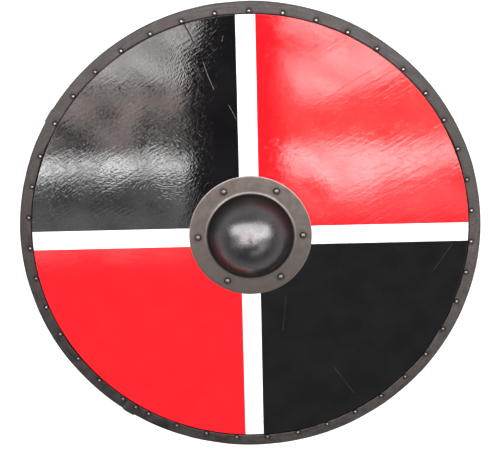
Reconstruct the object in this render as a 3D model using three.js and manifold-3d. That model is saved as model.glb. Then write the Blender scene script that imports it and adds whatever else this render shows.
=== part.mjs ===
// Round wooden shield with a riveted steel rim and a domed steel boss.
//
// A flat plywood board is painted in quarters and edged with a folded steel channel. The channel is made
// of a long and a short strip, and the end of each strip laps over the start of the other. Round-head
// rivets hold the rim. A pressed steel boss covers the hand hole in the middle, and a wooden grip, let
// flush into the back of the board, spans that hole.
//
// Millimetres, +Z up. The shield lies on its back: z = 0 is the back of the rim, the boss points up, and
// the origin is the centre of the disc. +Y is the top of the shield as it is carried.

import * as THREE from "three";
import { mergeVertices } from "three/addons/utils/BufferGeometryUtils.js";
import Module from "manifold-3d";

const wasm = await Module();
wasm.setup();

// Driving sizes: the board and its rim
const shieldDiameter = 762;
const boardThickness = 10;
const rimSheet = 1.2;
const rimLegWidth = 19;
const rimBendRadius = 2.2;
const rimLapLength = 20;
const rimJoggleLength = 4;
const rimWallLip = 0.6;

// Driving sizes: the boss over the hand hole
const bossSheet = 1.6;
const bossDomeSphereRadius = 74;
const bossDomeHeight = 55;
const bossFilletRadius = 4;
const bossFlangeWidth = 30;
const bossRivetInset = 14.6;
const bossRivetAngles = [-0.5, 59.5, 119.2, 180.5, 242.5, 304.2];

// Driving sizes: the rivets
const rimRivet = { headRadius: 4, headHeight: 2.6, shankRadius: 1.5, sides: 6 };
const bossRivet = { headRadius: 5.6, headHeight: 3.2, shankRadius: 2.4, sides: 8 };
const bossRivetTail = { radius: 4.2, height: 1.1 };
const rivetHeadShoulder = { radiusShare: 0.72, heightShare: 0.75 };
const bossRivetTailTaper = 1;
const rimRivetInset = 3.6;
const rivetHoleClearance = 0.4;
const rivetSeatGap = 0.05;
const rimRivetTailRecess = 0.1;

// Driving sizes: the rivet at each lap stands at an angle, in degrees round from +X. Each strip's other
// rivets are spread evenly between set distances from its two lap rivets, measured round their circle.
const lapRivetAngles = { longStripEnd: 147.8, shortStripEnd: 235.9 };
const lapRivetFromEnd = 5;
const longStripRivets = { count: 32, firstPastLap: 25.5, lastBeforeLap: 53.4 };
const shortStripRivets = { count: 10, firstPastLap: 60, lastBeforeLap: 26.2 };

// Driving sizes: the hand hole and the grip
const handHoleInsideDome = 5.5;
const gripWidth = 30;
const gripDepth = 24;
const gripPadThickness = 6;
const gripPadPastRivet = 20;
const gripShoulderLength = 20;
const gripHoleClearance = 3;
const gripEdgeRadius = 8;
const gripHollow = 1.5;

// How finely round shapes are faceted
const discSides = 52;
const bossSides = 36;
const domeSteps = 5;
const filletSteps = 2;
const bendSteps = 2;
const holeSides = 6;
const gripCurveSteps = 4;
const gripEndSteps = 6;
const gripEdgeSteps = 2;
const sectorStepDegrees = 10;

// Clearance between pieces that touch in the real shield, and how far a cutter runs past what it cuts
const fitGap = 0.3;
const cutterMargin = 5;

// Heights and radii that follow from the driving sizes
const rimRadius = shieldDiameter / 2;
const rimInnerRadius = rimRadius - rimLegWidth;
const boardRadius = rimRadius - rimSheet - fitGap;
const boardBack = rimSheet + fitGap;
const boardFront = boardBack + boardThickness;
const rimDepth = boardFront + fitGap + rimSheet;
const lapStep = rimSheet + fitGap;
const rimRivetCircleRadius = rimInnerRadius + rimRivetInset;
const bossBack = boardFront + fitGap;
const bossFlangeFront = bossBack + bossSheet;
const bossDomeFootRadius = Math.sqrt(
  bossDomeSphereRadius ** 2 - (bossDomeSphereRadius - bossDomeHeight) ** 2,
);
const bossFlangeRadius = bossDomeFootRadius + bossFlangeWidth;
const bossRivetCircleRadius = bossFlangeRadius - bossRivetInset;
const handHoleRadius = bossDomeFootRadius - handHoleInsideDome;
const gripPadTop = boardBack + gripPadThickness;
const gripPadLength = bossRivetCircleRadius + gripPadPastRivet;
const gripBarHalfLength = handHoleRadius - gripHoleClearance;

const fullTurn = 360;
const onAxisTolerance = 1e-6;

const materials = {
  paintedBoard: new THREE.MeshStandardMaterial({ color: 0xc8141c, roughness: 0.2, metalness: 0 }),
  rimSteel: new THREE.MeshStandardMaterial({ color: 0x5d5955, roughness: 0.45, metalness: 0.9 }),
  bossSteel: new THREE.MeshStandardMaterial({ color: 0x56514d, roughness: 0.35, metalness: 0.9 }),
  rivetSteel: new THREE.MeshStandardMaterial({ color: 0x8a8683, roughness: 0.3, metalness: 0.9 }),
  gripWood: new THREE.MeshStandardMaterial({ color: 0x9a6a3c, roughness: 0.55, metalness: 0 }),
};

// Turning meshes into solids and back

function solidOf(geometry) {
  const bare = geometry.clone();
  bare.deleteAttribute("normal");
  bare.deleteAttribute("uv");
  const merged = mergeVertices(bare);
  const corners = merged.index.array;
  const triVerts = [];
  for (let i = 0; i < corners.length; i += 3) {
    const [a, b, c] = [corners[i], corners[i + 1], corners[i + 2]];
    if (a !== b && b !== c && c !== a) triVerts.push(a, b, c);
  }
  return new wasm.Manifold(
    new wasm.Mesh({
      numProp: 3,
      vertProperties: new Float32Array(merged.attributes.position.array),
      triVerts: new Uint32Array(triVerts),
    }),
  );
}

function geometryOf(solid) {
  const mesh = solid.getMesh();
  const geometry = new THREE.BufferGeometry();
  geometry.setAttribute("position", new THREE.BufferAttribute(mesh.vertProperties, 3));
  geometry.setIndex(new THREE.BufferAttribute(mesh.triVerts, 1));
  geometry.computeVertexNormals();
  return geometry;
}

// Basic shapes

// Turns a profile of [radius, height] pairs about Z. A ring's profile ends where it starts.
function revolved(profile, sides) {
  const points = profile.map(([radius, height]) => new THREE.Vector2(radius, height));
  return new THREE.LatheGeometry(points, sides).rotateX(Math.PI / 2);
}

function ring(profile, sides) {
  return solidOf(revolved([...profile, profile[0]], sides));
}

// A straight prism on an outline of [x, y] pairs, from z = 0 up to the given height
function prism(outline, height) {
  const shape = new THREE.Shape(outline.map(([x, y]) => new THREE.Vector2(x, y)));
  return new THREE.ExtrudeGeometry(shape, { depth: height, bevelEnabled: false });
}

// Points on an arc from one angle to another, in degrees, both ends included
function arc(centreX, centreY, radius, fromDegrees, toDegrees, steps) {
  const points = [];
  for (let i = 0; i <= steps; i++) {
    const angle = THREE.MathUtils.degToRad(fromDegrees + ((toDegrees - fromDegrees) * i) / steps);
    points.push([centreX + radius * Math.cos(angle), centreY + radius * Math.sin(angle)]);
  }
  return points;
}

function pointOnCircle(radius, degrees, height = 0) {
  const angle = THREE.MathUtils.degToRad(degrees);
  return new THREE.Vector3(radius * Math.cos(angle), radius * Math.sin(angle), height);
}

function degreesAlong(length, radius) {
  return THREE.MathUtils.radToDeg(length / radius);
}

// The slice of the disc between two angles, tall enough to cut every piece
function discSector(fromDegrees, toDegrees) {
  const reach = rimRadius + lapStep + cutterMargin;
  const steps = Math.ceil((toDegrees - fromDegrees) / sectorStepDegrees);
  const circumscribed = reach / Math.cos(THREE.MathUtils.degToRad(sectorStepDegrees / 2));
  const outline = [[0, 0], ...arc(0, 0, circumscribed, fromDegrees, toDegrees, steps)];
  const height = rimDepth + lapStep + 2 * cutterMargin;
  return solidOf(prism(outline, height).translate(0, 0, -cutterMargin));
}

// Rivet holes

function rivetHole(shankRadius, circleRadius, degrees) {
  const inscribed = shankRadius + rivetHoleClearance;
  const profile = [
    [0, -cutterMargin],
    [inscribed / Math.cos(Math.PI / holeSides), -cutterMargin],
    [inscribed / Math.cos(Math.PI / holeSides), bossFlangeFront + cutterMargin],
    [0, bossFlangeFront + cutterMargin],
  ];
  const place = pointOnCircle(circleRadius, degrees);
  return solidOf(revolved(profile, holeSides).translate(place.x, place.y, 0));
}

// Cuts one rivet hole for each angle. The holes stand apart, so they are cut together.
function withRivetHoles(solid, shankRadius, circleRadius, angles) {
  const holes = angles.map((degrees) => rivetHole(shankRadius, circleRadius, degrees));
  return solid.subtract(wasm.Manifold.union(holes));
}

// The rivets' places on the rim

// Angles of the rivets of one strip, from the lap that covers its start to the lap at its own end
function spreadRivets({ count, firstPastLap, lastBeforeLap }, startLap, endLap) {
  const first = startLap + degreesAlong(firstPastLap, rimRivetCircleRadius);
  const last = endLap - degreesAlong(lastBeforeLap, rimRivetCircleRadius);
  return Array.from({ length: count }, (_, i) => first + ((last - first) * i) / (count - 1));
}

const { longStripEnd: longLap, shortStripEnd: shortLap } = lapRivetAngles;
const rimRivetPlaces = [
  { strip: "long", angles: spreadRivets(longStripRivets, shortLap, longLap + fullTurn) },
  { strip: "short", angles: spreadRivets(shortStripRivets, longLap, shortLap) },
  { strip: "lap", angles: [longLap, shortLap] },
];
const rimRivetAngles = rimRivetPlaces.flatMap((place) => place.angles);

// The painted board, with its hand hole, rivet holes and the two pockets for the grip

function boardGeometry() {
  const disc = ring(
    [
      [handHoleRadius, boardBack],
      [boardRadius, boardBack],
      [boardRadius, boardFront],
      [handHoleRadius, boardFront],
    ],
    discSides,
  );
  const pocket = solidOf(
    prism(gripPadOutline(fitGap), gripPadThickness + fitGap + cutterMargin).translate(
      0, 0, boardBack - cutterMargin,
    ),
  );
  const drilled = withRivetHoles(disc, rimRivet.shankRadius, rimRivetCircleRadius, rimRivetAngles);
  return geometryOf(
    withRivetHoles(drilled, bossRivet.shankRadius, bossRivetCircleRadius, bossRivetAngles).subtract(pocket),
  );
}

// The steel rim: a folded channel, open towards the middle of the shield

function channelSection() {
  const bend = rimBendRadius;
  return [
    [rimInnerRadius, 0],
    ...arc(rimRadius - bend, bend, bend, -90, 0, bendSteps),
    ...arc(rimRadius - bend, rimDepth - bend, bend, 0, 90, bendSteps),
    [rimInnerRadius, rimDepth],
    [rimInnerRadius, rimDepth - rimSheet],
    [rimRadius - rimSheet, rimDepth - rimSheet],
    [rimRadius - rimSheet, rimSheet],
    [rimInnerRadius, rimSheet],
  ];
}

// The front leg and outer wall of a strip, raised by one lap step. Its inner faces start the given
// distance outside the plain channel's outer faces, and a negative one reaches down into that channel.
function raisedSection(innerOffset) {
  const bend = rimBendRadius;
  return [
    [rimRadius + innerOffset, rimWallLip],
    [rimRadius + lapStep, rimWallLip],
    ...arc(rimRadius + lapStep - bend, rimDepth + lapStep - bend, bend, 0, 90, bendSteps),
    [rimInnerRadius, rimDepth + lapStep],
    [rimInnerRadius, rimDepth + innerOffset],
    [rimRadius + innerOffset, rimDepth + innerOffset],
  ];
}

// One strip: a plain channel, then a short joggle up, then the lap over the start of the next strip.
// The back leg stops at the joggle, so that the back of the rim stays flat.
function stripGeometry(startDegrees, endDegrees) {
  const lapStart = endDegrees - degreesAlong(rimLapLength, rimRadius);
  const joggleStart = lapStart - degreesAlong(rimJoggleLength, rimRadius);
  const channel = ring(channelSection(), discSides).intersect(discSector(startDegrees, lapStart));
  const joggle = ring(raisedSection(-rimSheet), discSides).intersect(discSector(joggleStart, lapStart));
  const lap = ring(raisedSection(fitGap), discSides).intersect(discSector(joggleStart, endDegrees));
  return geometryOf(
    withRivetHoles(
      channel.add(joggle).add(lap),
      rimRivet.shankRadius,
      rimRivetCircleRadius,
      rimRivetAngles,
    ),
  );
}

const longStripEnd = longLap + degreesAlong(lapRivetFromEnd, rimRadius);
const shortStripEnd = shortLap + degreesAlong(lapRivetFromEnd, rimRadius);

// A strip starts a gap past the joggle of the strip that laps over it
function startUnder(otherStripEnd) {
  return otherStripEnd - degreesAlong(rimLapLength - fitGap, rimRadius);
}

// The boss: a flange, a small fillet and a dome that is part of a sphere

function bossGeometry() {
  const domeCentre = bossFlangeFront + bossDomeHeight - bossDomeSphereRadius;
  const skin = (offset) => {
    const sphere = bossDomeSphereRadius - offset;
    const fillet = bossFilletRadius + offset;
    const flangeFace = bossFlangeFront - offset;
    const filletCentreHeight = flangeFace + fillet;
    const filletCentreRadius = Math.sqrt((sphere + fillet) ** 2 - (filletCentreHeight - domeCentre) ** 2);
    const meet = THREE.MathUtils.radToDeg(
      Math.atan2(filletCentreHeight - domeCentre, filletCentreRadius),
    );
    return [
      ...arc(filletCentreRadius, filletCentreHeight, fillet, 270, 180 + meet, filletSteps),
      ...arc(0, domeCentre, sphere, meet, 90, domeSteps).slice(1),
    ];
  };
  const onAxis = ([radius, height]) => [Math.abs(radius) < onAxisTolerance ? 0 : radius, height];
  const profile = [
    ...skin(bossSheet).reverse().map(onAxis),
    [bossFlangeRadius, bossBack],
    [bossFlangeRadius, bossFlangeFront],
    ...skin(0).map(onAxis),
  ];
  const shell = solidOf(revolved(profile, bossSides));
  return geometryOf(
    withRivetHoles(shell, bossRivet.shankRadius, bossRivetCircleRadius, bossRivetAngles),
  );
}

// Rivets: a low dome on a shank. The seat, at height 0, is the underside of the head.

function headProfile({ headRadius, headHeight }) {
  return [
    [headRadius, 0],
    [headRadius * rivetHeadShoulder.radiusShare, headHeight * rivetHeadShoulder.heightShare],
    [0, headHeight],
  ];
}

// The tail of a rim rivet is dressed flush with the back of the rim.
function rimRivetGeometry(length) {
  const { shankRadius, sides } = rimRivet;
  return revolved([[0, -length], [shankRadius, -length], [shankRadius, 0], ...headProfile(rimRivet)], sides);
}

// The tail of a boss rivet is spread into a thin button on the back of the board.
function bossRivetGeometry(length) {
  const { shankRadius, sides } = bossRivet;
  const { radius, height } = bossRivetTail;
  const profile = [
    [0, -length - height],
    [radius - bossRivetTailTaper, -length - height],
    [radius, -length],
    [shankRadius, -length],
    [shankRadius, 0],
    ...headProfile(bossRivet),
  ];
  return revolved(profile, sides);
}

// The grip

// Seen from above: a bar that reaches past the outer boss rivets, with round ends
function gripPadOutline(grow) {
  const half = gripWidth / 2 + grow;
  const centre = gripPadLength + grow - half;
  return [
    ...arc(centre, 0, half, -90, 90, gripEndSteps),
    ...arc(-centre, 0, half, 90, 270, gripEndSteps),
  ];
}

// Seen from the side: thin at the hole's edge, swelling into the boss, with a shallow hollow for the palm
function gripSideOutline() {
  const end = gripBarHalfLength;
  const crest = end - gripShoulderLength;
  const top = boardBack + gripDepth;
  const shoulder = [];
  for (let i = 0; i <= gripCurveSteps; i++) {
    const t = i / gripCurveSteps;
    const rise = (1 - Math.cos(Math.PI * t)) / 2;
    shoulder.push([end - gripShoulderLength * t, gripPadTop + (top - gripPadTop) * rise]);
  }
  const mirrored = shoulder.map(([x, z]) => [-x, z]).reverse();
  return [[-end, boardBack], [-crest, boardBack], [0, boardBack + gripHollow], [crest, boardBack],
    [end, boardBack], ...shoulder, ...mirrored];
}

// Seen from the end: a rectangle with round corners
function gripEndOutline() {
  const half = gripWidth / 2;
  const radius = gripEdgeRadius;
  const low = boardBack;
  const high = boardBack + gripDepth;
  return [
    ...arc(half - radius, high - radius, radius, 0, 90, gripEdgeSteps),
    ...arc(radius - half, high - radius, radius, 90, 180, gripEdgeSteps),
    ...arc(radius - half, low + radius, radius, 180, 270, gripEdgeSteps),
    ...arc(half - radius, low + radius, radius, 270, 360, gripEdgeSteps),
  ];
}

function gripGeometry() {
  const side = solidOf(
    prism(gripSideOutline(), gripWidth).rotateX(Math.PI / 2).translate(0, gripWidth / 2, 0),
  );
  const end = solidOf(
    prism(gripEndOutline(), 2 * gripBarHalfLength)
      .rotateX(Math.PI / 2)
      .rotateZ(Math.PI / 2)
      .translate(-gripBarHalfLength, 0, 0),
  );
  const pads = solidOf(prism(gripPadOutline(0), gripPadThickness).translate(0, 0, boardBack));
  const palmSpace = solidOf(
    new THREE.BoxGeometry(
      2 * gripBarHalfLength - gripShoulderLength,
      gripWidth + 2 * cutterMargin,
      2 * (gripPadTop + cutterMargin),
    ),
  );
  const bar = side.intersect(end).add(pads.subtract(palmSpace));
  return geometryOf(
    withRivetHoles(bar, bossRivet.shankRadius, bossRivetCircleRadius, bossRivetAngles),
  );
}

// The whole shield

const shield = new THREE.Group();

function place(name, geometry, material, position = new THREE.Vector3()) {
  const mesh = new THREE.Mesh(geometry, material);
  mesh.name = name;
  mesh.position.copy(position);
  shield.add(mesh);
}

place("board", boardGeometry(), materials.paintedBoard);
const longStrip = stripGeometry(startUnder(shortStripEnd), longStripEnd + fullTurn);
const shortStrip = stripGeometry(startUnder(longStripEnd), shortStripEnd);
place("rim_strip_long", longStrip, materials.rimSteel);
place("rim_strip_short", shortStrip, materials.rimSteel);
place("boss", bossGeometry(), materials.bossSteel);
place("grip", gripGeometry(), materials.gripWood);

for (const { strip, angles } of rimRivetPlaces) {
  const seat = rimDepth + rivetSeatGap + (strip === "lap" ? lapStep : 0);
  const rivet = rimRivetGeometry(seat - rimRivetTailRecess);
  angles.forEach((degrees, i) => {
    const spot = pointOnCircle(rimRivetCircleRadius, degrees, seat);
    place(`rim_rivet_${strip}_${i + 1}`, rivet, materials.rivetSteel, spot);
  });
}

const bossRivetSeat = bossFlangeFront + rivetSeatGap;
const bossRivetShape = bossRivetGeometry(bossRivetSeat - boardBack + rivetSeatGap);
bossRivetAngles.forEach((degrees, i) => {
  const spot = pointOnCircle(bossRivetCircleRadius, degrees, bossRivetSeat);
  place(`boss_rivet_${i + 1}`, bossRivetShape, materials.rivetSteel, spot);
});

export default shield;
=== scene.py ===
# %% [markdown]
# A wooden round shield, dressed for rendering.
# The shield is a flat plywood board with a hole in the middle for the fist, edged with a folded steel
# channel and covered in the middle by a domed steel boss. The imported model gives every piece its place,
# so this lesson starts by loading it and reads the boxes of its pieces.

# %% Load the imported model
import math
import random

import bmesh
import bpy
from mathutils import Matrix, Vector, noise


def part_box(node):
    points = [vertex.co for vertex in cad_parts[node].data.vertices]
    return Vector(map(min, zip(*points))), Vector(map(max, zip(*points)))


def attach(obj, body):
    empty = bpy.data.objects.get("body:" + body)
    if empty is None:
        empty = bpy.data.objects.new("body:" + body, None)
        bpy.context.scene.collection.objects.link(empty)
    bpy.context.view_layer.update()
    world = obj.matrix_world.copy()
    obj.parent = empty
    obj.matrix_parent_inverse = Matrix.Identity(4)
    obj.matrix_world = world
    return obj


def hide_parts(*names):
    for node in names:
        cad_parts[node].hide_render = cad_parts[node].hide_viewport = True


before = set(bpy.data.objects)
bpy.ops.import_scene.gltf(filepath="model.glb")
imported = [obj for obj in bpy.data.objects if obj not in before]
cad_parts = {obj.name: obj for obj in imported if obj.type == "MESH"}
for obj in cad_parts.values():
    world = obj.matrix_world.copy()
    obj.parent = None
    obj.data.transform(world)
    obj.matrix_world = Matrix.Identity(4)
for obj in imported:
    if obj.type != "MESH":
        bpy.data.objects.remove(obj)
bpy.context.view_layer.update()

MM = 0.001

# %% [markdown]
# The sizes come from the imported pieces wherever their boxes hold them. A box can't tell how wide a folded
# leg is or how far two strips lap, so those few sizes are named here, as a maker would note them down.

# %% Sizes of the board, rim, boss and grip
board_low, board_high = map(Vector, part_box("board"))
boss_low, boss_high = map(Vector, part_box("boss"))
strip_low, strip_high = map(Vector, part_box("rim_strip_long"))
grip_low, grip_high = map(Vector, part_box("grip"))

RIM_SHEET = 1.2 * MM
RIM_LEG_WIDTH = 19 * MM
RIM_BEND_RADIUS = 2.2 * MM
RIM_RADIUS = strip_high.x
LAP_LIFT = 1.5 * MM
LAP_LENGTH = 20 * MM
LAP_RIVET_FROM_END = 5 * MM
JOGGLE_LENGTH = 4 * MM
TONGUE_LIP = 0.6 * MM
FIT_GAP = 0.3 * MM
RIM_BACK = strip_low.z
RIM_FRONT = strip_high.z - LAP_LIFT
RIM_INNER = RIM_RADIUS - RIM_LEG_WIDTH

BOARD_BACK = board_low.z
BOARD_FACE = board_high.z
BOARD_RADIUS = board_high.x - 1.1 * MM
BOSS_SHEET = 1.6 * MM
DOME_RADIUS = 74 * MM
DOME_FILLET = 4 * MM
HAND_HOLE_INSIDE_DOME = 5.5 * MM
FLANGE_RADIUS = boss_high.x
FLANGE_TOP = boss_low.z + BOSS_SHEET
DOME_TOP = boss_high.z
DOME_CENTRE = DOME_TOP - DOME_RADIUS
DOME_FOOT = math.sqrt(DOME_RADIUS ** 2 - (FLANGE_TOP - DOME_CENTRE) ** 2)
HAND_HOLE = DOME_FOOT - HAND_HOLE_INSIDE_DOME

GRIP_PAD_THICKNESS = 6 * MM
GRIP_SHOULDER_LENGTH = 20 * MM
GRIP_BAR_END = HAND_HOLE - 3 * MM
GRIP_HOLLOW = 1.5 * MM
print("hand hole radius", round(HAND_HOLE / MM, 2), "mm, dome foot radius", round(DOME_FOOT / MM, 2), "mm")

# %% [markdown]
# A packed rivet is a small solid of its own, so its box tells where it stands and how deep it reaches. The
# places could be listed again here, but read from the boxes they can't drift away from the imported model.

# %% Places of the rivets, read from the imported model
def rivet_places(prefix):
    """Name, place on the board, lowest and highest point of each packed rivet with this prefix."""
    places = []
    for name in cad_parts:
        if name.startswith(prefix):
            low, high = map(Vector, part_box(name))
            places.append((name, (low.x + high.x) / 2, (low.y + high.y) / 2, low.z, high.z))
    return places


def turn(x, y):
    """Angle of a place round the board, in degrees from 0 to 360."""
    return math.degrees(math.atan2(y, x)) % 360


rim_rivets = rivet_places("rim_rivet_")
boss_rivets = rivet_places("boss_rivet_")
rim_rivet_turns = sorted(turn(x, y) for name, x, y, low, high in rim_rivets)
lap_turn = {name: turn(x, y) for name, x, y, low, high in rim_rivets if "lap" in name}
print(len(rim_rivets), "rim rivets,", len(boss_rivets), "boss rivets, laps at", lap_turn)

# %% [markdown]
# Every mesh here is made with bmesh operators and becomes an object in the same way, so one helper does
# it. It smooths the faces, keeps the edges sharp that fold by more than a given angle, lets the piece ride
# on the shield's one body, hides the imported nodes it stands for and gives it its finish. Cuts are
# made with a Boolean modifier, as bmesh has no operator for them, and baked into the mesh at once.

# %% Helpers that turn a bmesh into a finished piece
def object_from(bm, name):
    """A new object at the origin that holds this bmesh."""
    mesh = bpy.data.meshes.new(name)
    bm.to_mesh(mesh)
    bm.free()
    made = bpy.data.objects.new(name, mesh)
    bpy.context.collection.objects.link(made)
    return made


def bake_modifiers(piece):
    """Puts the result of the piece's modifiers into its own mesh."""
    graph = bpy.context.evaluated_depsgraph_get()
    result = bpy.data.meshes.new_from_object(piece.evaluated_get(graph))
    piece.modifiers.clear()
    piece.data = result


def cut_away(piece, cutter):
    """Cuts a closed bmesh out of the piece, as a drill or a router would."""
    tool = object_from(cutter, "cutting_tool")
    change = piece.modifiers.new("cut", "BOOLEAN")
    change.operation = "DIFFERENCE"
    change.solver = "EXACT"
    change.object = tool
    bake_modifiers(piece)
    bpy.data.objects.remove(tool)


def close_up(bm):
    """Merges doubled vertices and points every face outwards."""
    bmesh.ops.remove_doubles(bm, verts=bm.verts, dist=0.001 * MM)
    bmesh.ops.recalc_face_normals(bm, faces=bm.faces)


def finished(piece, nodes, materials, sharp=35):
    """Shades and paints one piece, hides the imported nodes it stands for, and prints its size."""
    piece.data.materials.clear()
    for material in materials:
        piece.data.materials.append(material)
    for polygon in piece.data.polygons:
        polygon.use_smooth = True
    piece.data.set_sharp_from_angle(angle=math.radians(sharp))
    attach(piece, "root")
    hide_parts(*nodes)
    faces = sum(len(polygon.vertices) - 2 for polygon in piece.data.polygons)
    print(f"{piece.name}: {faces} triangles")


def soft_step(value, low, high):
    """0 below low, 1 above high, and a smooth rise between them."""
    share = min(max((value - low) / (high - low), 0), 1)
    return share * share * (3 - 2 * share)


# %% [markdown]
# Materials are node trees. These helpers keep them readable: one adds a node and fills or links its
# inputs, and the others stand for the few kinds of node that every finish needs again and again.

# %% Helpers for shader nodes
def add(tree, kind, sockets=None, **settings):
    """Adds a shader node. A socket given as a value is linked, and anything else is set."""
    made = tree.nodes.new("ShaderNode" + kind)
    for name, value in settings.items():
        setattr(made, name, value)
    for key, value in (sockets or {}).items():
        if isinstance(value, bpy.types.NodeSocket):
            tree.links.new(value, made.inputs[key])
        else:
            made.inputs[key].default_value = value
    return made


def reckon(tree, operation, first, second=0.0):
    """The result of one Math node: a sum, a product or another reckoning of one or two values."""
    return add(tree, "Math", {0: first, 1: second}, operation=operation).outputs[0]


def scaled(tree, vector, factors):
    """A vector times three factors, one for each axis."""
    return add(tree, "VectorMath", {0: vector, 1: factors}, operation="MULTIPLY").outputs[0]


def ramp(tree, value, low, high, start=0.0, end=1.0):
    """The value, spread smoothly from low to high onto start to end."""
    sockets = {"Value": value, "From Min": low, "From Max": high, "To Min": start, "To Max": end}
    return add(tree, "MapRange", sockets, interpolation_type="SMOOTHSTEP").outputs["Result"]


def blend(tree, share, first, second):
    """A colour between two colours."""
    mix = add(tree, "Mix", {0: share, 6: first, 7: second}, data_type="RGBA")
    return mix.outputs[2]


def glaze(tree, under, tint, mask, most):
    """Lays a tint over a colour where the mask shows, and nowhere thicker than this share."""
    return blend(tree, reckon(tree, "MULTIPLY", mask, most), under, tint)


def cloud(tree, vector, scale, detail=2.0, rough=0.5):
    """A noise value around 0.5 that changes over the surface."""
    sockets = {"Vector": vector, "Scale": scale, "Detail": detail, "Roughness": rough}
    return add(tree, "TexNoise", sockets).outputs["Fac"]


def colour(red, green, blue):
    """A linear colour as a shader socket takes it."""
    return (red, green, blue, 1.0)


# %% [markdown]
# A finish starts from one Principled shader, whose even values are set at once, and reads the piece's own
# Object coordinates, which lie in metres from the shield's middle. An effect that several finishes share
# is a node group instead, so that it is built once and each material only chooses its sizes.

# %% Helpers for materials and node groups
ORIGIN = (0.0, 0.0, 0.0)


def new_material(name, **shader_values):
    """A material with one Principled shader, its tree and its Object coordinates."""
    material = bpy.data.materials.new(name)
    material.use_nodes = True
    tree = material.node_tree
    shader = tree.nodes["Principled BSDF"]
    for key, value in shader_values.items():
        shader.inputs[key.replace("_", " ")].default_value = value
    place = add(tree, "TexCoord").outputs["Object"]
    print("finish:", name)
    return material, tree, shader, place


def new_group(name, inputs, outputs):
    """An empty node group with named inputs, as (name, default), and named outputs."""
    group = bpy.data.node_groups.new(name, "ShaderNodeTree")
    for key, value in inputs:
        kind = "NodeSocketVector" if isinstance(value, tuple) else "NodeSocketFloat"
        socket = group.interface.new_socket(key, in_out="INPUT", socket_type=kind)
        socket.default_value = value
    for key in outputs:
        group.interface.new_socket(key, in_out="OUTPUT", socket_type="NodeSocketFloat")
    start = group.nodes.new("NodeGroupInput")
    end = group.nodes.new("NodeGroupOutput")
    print("node group:", name)
    return group, start.outputs, end.inputs


def use(tree, group, sockets):
    """Places a node group in a material."""
    return add(tree, "Group", sockets, node_tree=group).outputs


def set_bump(tree, shader, height, distance):
    """Lets a height, in units of distance, roughen the shader's surface."""
    bump = add(tree, "Bump", {"Height": height, "Distance": distance, "Strength": 1.0})
    tree.links.new(bump.outputs["Normal"], shader.inputs["Normal"])


# %% [markdown]
# Strokes are short ridges that all run one way, as a brush leaves them. An image of brush marks would
# blur from close by, so a noise is stretched along one direction instead, and the ramp after it squares
# the ridges off. Few octaves are kept: ridges finer than a pixel would only blur the mirror image.

# %% Node group for strokes
def make_strokes():
    """Short ridges along one direction, from 0 to 1."""
    inputs = [("Vector", ORIGIN), ("Turn", 0.0), ("Length", 0.01), ("Width", 0.001)]
    group, given, result = new_group("strokes", inputs, ["Height"])
    turned = add(group, "VectorRotate", {"Vector": given["Vector"], "Angle": given["Turn"]},
                 rotation_type="Z_AXIS").outputs[0]
    along = reckon(group, "DIVIDE", 1.0, given["Length"])
    across = reckon(group, "DIVIDE", 1.0, given["Width"])
    stretch = add(group, "CombineXYZ", {"X": along, "Y": across, "Z": across}).outputs[0]
    spread = scaled(group, turned, stretch)
    height = ramp(group, cloud(group, spread, 1.0, 0.7, 0.4), 0.3, 0.7)
    group.links.new(height, result["Height"])
    return group


strokes = make_strokes()

# %% [markdown]
# A scratch or a crack is a thin straight line on the board. The group takes its two ends and works out how
# far each place lies from the line between them, and the ramp makes a mask of that distance. A bent
# scratch is simply two lines that meet.

# %% Node group for a scratch
def make_scratch():
    """A mask that is 1 on the line between two points of the board and fades at its width."""
    inputs = [("Vector", ORIGIN), ("From", ORIGIN), ("To", ORIGIN), ("Width", 0.0005)]
    group, given, result = new_group("scratch", inputs, ["Mask"])
    flat = scaled(group, given["Vector"], (1.0, 1.0, 0.0))
    reach = add(group, "VectorMath", {0: given["To"], 1: given["From"]}, operation="SUBTRACT").outputs[0]
    here = add(group, "VectorMath", {0: flat, 1: given["From"]}, operation="SUBTRACT").outputs[0]
    along = add(group, "VectorMath", {0: here, 1: reach}, operation="DOT_PRODUCT").outputs["Value"]
    whole = add(group, "VectorMath", {0: reach, 1: reach}, operation="DOT_PRODUCT").outputs["Value"]
    share = add(group, "Math", {0: along, 1: whole}, operation="DIVIDE", use_clamp=True).outputs[0]
    nearest = add(group, "VectorMath", {0: reach, "Scale": share}, operation="SCALE").outputs[0]
    gap = add(group, "VectorMath", {0: here, 1: nearest}, operation="DISTANCE").outputs["Value"]
    edge = reckon(group, "MULTIPLY", given["Width"], 0.4)
    group.links.new(ramp(group, gap, given["Width"], edge), result["Mask"])
    return group


scratch = make_scratch()

# %% [markdown]
# Blackened or browned steel is never even: the oxide gathers in clouds, and fine specks show where it is
# thicker or has been rubbed off. One group gives both, at a size that each piece chooses.

# %% Node group for oxide on steel
def make_oxide():
    """Clouds and specks of oxide, each from 0 to 1."""
    inputs = [("Vector", ORIGIN), ("Cloud Size", 0.02), ("Speck Size", 0.0012)]
    group, given, result = new_group("oxide", inputs, ["Clouds", "Specks"])
    wide = reckon(group, "DIVIDE", 1.0, given["Cloud Size"])
    fine = reckon(group, "DIVIDE", 1.0, given["Speck Size"])
    clouds = ramp(group, cloud(group, given["Vector"], wide, 5.0, 0.6), 0.3, 0.7)
    specks = ramp(group, cloud(group, given["Vector"], fine, 2.0, 0.6), 0.45, 0.75)
    group.links.new(clouds, result["Clouds"])
    group.links.new(specks, result["Specks"])
    return group


oxide = make_oxide()

# %% [markdown]
# Sawn wood shows long wavy figure along the grain and short dark pores. A Wave texture would draw the
# figure as even stripes. Here it follows the level lines of a stretched noise, as growth rings do where a
# plank cuts them, and the pores are strokes much thinner than they are long. The grain runs along X.

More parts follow.
